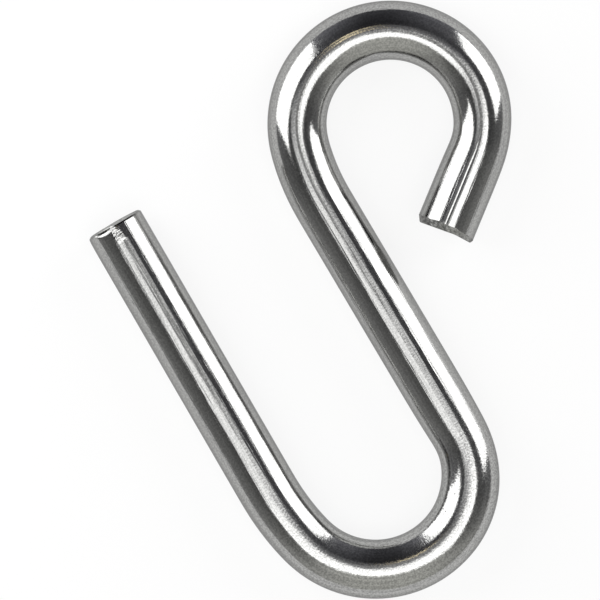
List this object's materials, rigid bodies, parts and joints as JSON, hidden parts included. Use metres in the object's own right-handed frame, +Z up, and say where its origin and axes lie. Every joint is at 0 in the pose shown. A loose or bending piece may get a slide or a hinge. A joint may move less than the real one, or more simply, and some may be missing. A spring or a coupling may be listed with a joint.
{
  "type": "s hook",
  "caption": "S-shaped hook bent from round steel bar, with a nearly closed eye at the top and a deep open hook below, to link a chain, line or ring to a rail, loop or load.",
  "frame": {"origin": "centre of the footprint of the hook as it lies flat, on the surface that it lies on", "axes": "+Y along the shank towards the eye, +X towards the side on which the eye lies, +Z up, square to the plane of the bends"},
  "size_m": [0.0446, 0.0542, 0.006],
  "materials": {
    "polished_steel": "polished stainless steel with fine draw lines along the bar"
  },
  "bodies": {
    "root": {"s_hook": "polished_steel"}
  },
  "joints": []
}
